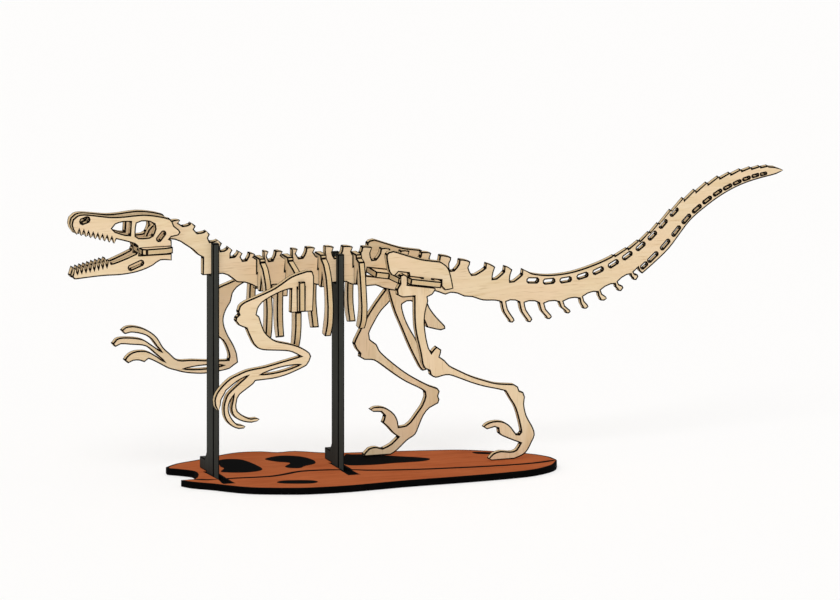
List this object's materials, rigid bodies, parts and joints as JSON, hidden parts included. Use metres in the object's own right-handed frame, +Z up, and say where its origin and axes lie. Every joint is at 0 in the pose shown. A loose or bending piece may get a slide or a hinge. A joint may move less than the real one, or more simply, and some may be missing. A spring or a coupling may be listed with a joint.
{
  "type": "wooden 3d jigsaw skeleton",
  "caption": "Slotted wooden 3D jigsaw of a running long-tailed dinosaur skeleton, held by two black forked uprights over a brown two-board base.",
  "frame": {"origin": "on the underside of the base, in the plane that halves the spine's thickness", "axes": "+X along the body from the head to the tail, +Y to the far side, +Z up"},
  "size_m": [0.3427, 0.087, 0.1285],
  "materials": {
    "plywood": "sanded pale plywood with dark laser-cut edges",
    "brown_board": "satin brown stain with black edges",
    "black_board": "satin black paint"
  },
  "bodies": {
    "stand": {"base_back": "brown_board", "base_front": "brown_board", "post_front": "black_board", "post_rear": "black_board"},
    "skeleton": {"spine": "plywood", "skull_near": "plywood", "skull_far": "plywood", "jaw_bar": "plywood", "hip_plate": "plywood", "leg_near": "plywood", "leg_far": "plywood", "pubis_plate": "plywood"},
    "front_rib": {"rib_front": "plywood"},
    "girdle": {"shoulder_girdle": "plywood"},
    "middle_rib": {"rib_middle": "plywood"},
    "rear_rib": {"rib_rear": "plywood"},
    "near_arm": {"arm_near": "plywood"},
    "far_arm": {"arm_far": "plywood"},
    "near_hip_bone": {"hip_bone_near": "plywood"},
    "far_hip_bone": {"hip_bone_far": "plywood"}
  },
  "joints": [
    {"name": "skeleton_lift", "type": "slide", "parent": "stand", "child": "skeleton", "axis": [0, 0, 1], "range_m": [0, 0.025]},
    {"name": "front_rib_lift", "type": "slide", "parent": "skeleton", "child": "front_rib", "axis": [0, 0, 1], "range_m": [0, 0.02]},
    {"name": "girdle_lift", "type": "slide", "parent": "skeleton", "child": "girdle", "axis": [0, 0, 1], "range_m": [0, 0.02]},
    {"name": "middle_rib_lift", "type": "slide", "parent": "skeleton", "child": "middle_rib", "axis": [0, 0, 1], "range_m": [0, 0.02]},
    {"name": "rear_rib_lift", "type": "slide", "parent": "skeleton", "child": "rear_rib", "axis": [0, 0, 1], "range_m": [0, 0.02]},
    {"name": "near_arm_lift", "type": "slide", "parent": "girdle", "child": "near_arm", "axis": [0, 0, 1], "range_m": [0, 0.014]},
    {"name": "far_arm_lift", "type": "slide", "parent": "girdle", "child": "far_arm", "axis": [0, 0, 1], "range_m": [0, 0.014]},
    {"name": "near_hip_bone_lift", "type": "slide", "parent": "skeleton", "child": "near_hip_bone", "axis": [0.1668, 0, 0.986], "range_m": [0, 0.012]},
    {"name": "far_hip_bone_lift", "type": "slide", "parent": "skeleton", "child": "far_hip_bone", "axis": [0.1668, 0, 0.986], "range_m": [0, 0.012]}
  ]
}
